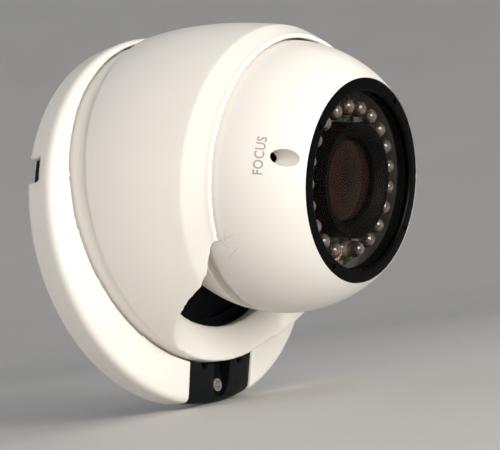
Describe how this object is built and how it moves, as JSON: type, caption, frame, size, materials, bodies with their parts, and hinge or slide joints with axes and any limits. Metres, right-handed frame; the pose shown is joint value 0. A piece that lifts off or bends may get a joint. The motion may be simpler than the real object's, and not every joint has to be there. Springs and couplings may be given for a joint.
{
  "type": "dome security camera",
  "caption": "Wall or ceiling turret camera: a trim ring and lock block on a mounting base hold a panning drum, in which a ball with lens, emitters and window tilts and spins.",
  "frame": {"origin": "centre of the mounting face, on the trim ring axis", "axes": "+Y out of the mounting face into the wall, -Y the way the camera faces, -Z towards the lock window and the scoop"},
  "size_m": [0.124, 0.0852, 0.1236],
  "materials": {
    "white_paint": "white powder-coated die casting",
    "base_black": "black glass-filled nylon",
    "rubber": "soft black rubber",
    "steel": "zinc-plated steel",
    "chassis_metal": "bare die casting",
    "nylon": "natural nylon",
    "bezel_black": "black anodised",
    "window": "flat polished glass",
    "circuit": "green solder mask",
    "emitter": "clear epoxy",
    "sensor_cell": "cadmium cell face",
    "lens_glass": "coated optical glass",
    "lens_black": "black lens plastic",
    "gear_plastic": "acetal",
    "silicon": "image sensor package",
    "filter_glass": "infrared-cut coating"
  },
  "bodies": {
    "base": {"mounting_base": "base_black", "lock_block": "base_black", "trim_ring": "white_paint", "pan_chassis": "base_black", "cable_grommet": "rubber", "pan_washer": "nylon", "pan_retainers": "steel", "pan_screws": "steel"},
    "lock_screw": {"lock_screw": "steel"},
    "drum": {"drum_shell": "white_paint", "ball_seat": "rubber"},
    "tilt_carrier": {"tilt_shoes": "nylon"},
    "ball": {"ball_front_shell": "white_paint", "ball_rear_shell": "white_paint", "ball_screws": "steel", "rear_grommet": "rubber", "bezel_ring": "bezel_black", "window_glass": "window", "window_gasket": "rubber", "led_board": "circuit", "ir_leds": "emitter", "light_sensor": "sensor_cell", "lens_hood": "rubber", "lens_barrel": "lens_black", "front_lens": "lens_glass", "rear_lens": "lens_glass", "inner_frame": "chassis_metal", "adjuster_guides": "steel", "lens_holder": "lens_black", "sensor_board": "circuit", "image_sensor": "silicon", "board_standoffs": "steel", "board_screws": "steel"},
    "focus_ring": {"focus_ring": "gear_plastic"},
    "focus_idler": {"focus_idler": "nylon"},
    "focus_adjuster": {"focus_adjuster": "steel"},
    "zoom_ring": {"zoom_ring": "gear_plastic"},
    "zoom_idler": {"zoom_idler": "nylon"},
    "zoom_adjuster": {"zoom_adjuster": "steel"},
    "ir_cut_filter": {"ir_cut_filter": "filter_glass"}
  },
  "joints": [
    {"name": "pan", "type": "hinge", "parent": "base", "child": "drum", "pos_m": [0, 0, 0.0056], "axis": [0, -1, 0], "range_deg": [-177.5, 177.5]},
    {"name": "tilt", "type": "hinge", "parent": "drum", "child": "tilt_carrier", "pos_m": [0, -0.0492, 0.0056], "axis": [1, 0, 0], "range_deg": [-14, 61]},
    {"name": "roll", "type": "hinge", "parent": "tilt_carrier", "child": "ball", "pos_m": [0, -0.0492, 0.0056], "axis": [0, -0.9703, -0.2419], "range_deg": [-177.5, 177.5]},
    {"name": "lock_screw_turn", "type": "hinge", "parent": "base", "child": "lock_screw", "pos_m": [0, -0.008, -0.0562], "axis": [0, -1, 0], "range_deg": [0, 720]},
    {"name": "focus_ring_turn", "type": "hinge", "parent": "ball", "child": "focus_ring", "pos_m": [0, -0.0492, 0.0056], "axis": [0, -0.9703, -0.2419], "range_deg": [-35, 35]},
    {"name": "focus_idler_turn", "type": "hinge", "parent": "ball", "child": "focus_idler", "pos_m": [-0.02252, -0.05006, 0.00906], "axis": [0, -0.9703, -0.2419], "range_deg": [-61, 61]},
    {"name": "focus_adjuster_turn", "type": "hinge", "parent": "ball", "child": "focus_adjuster", "pos_m": [-0.03348, -0.05048, 0.01075], "axis": [0, -0.9703, -0.2419], "range_deg": [-188, 188]},
    {"name": "zoom_ring_turn", "type": "hinge", "parent": "ball", "child": "zoom_ring", "pos_m": [0, -0.0492, 0.0056], "axis": [0, -0.9703, -0.2419], "range_deg": [-35, 35]},
    {"name": "zoom_idler_turn", "type": "hinge", "parent": "ball", "child": "zoom_idler", "pos_m": [0.02252, -0.05006, 0.00906], "axis": [0, -0.9703, -0.2419], "range_deg": [-61, 61]},
    {"name": "zoom_adjuster_turn", "type": "hinge", "parent": "ball", "child": "zoom_adjuster", "pos_m": [0.03348, -0.05048, 0.01075], "axis": [0, -0.9703, -0.2419], "range_deg": [-188, 188]},
    {"name": "ir_cut_slide", "type": "slide", "parent": "ball", "child": "ir_cut_filter", "axis": [0, 0.2419, -0.9703], "range_m": [0, 0.008]}
  ],
  "couplings": [
    {"joint": "focus_idler_turn", "follows": "focus_ring_turn", "ratio": -1.7143},
    {"joint": "focus_adjuster_turn", "follows": "focus_ring_turn", "ratio": 5.3333},
    {"joint": "zoom_idler_turn", "follows": "zoom_ring_turn", "ratio": -1.7143},
    {"joint": "zoom_adjuster_turn", "follows": "zoom_ring_turn", "ratio": 5.3333}
  ]
}
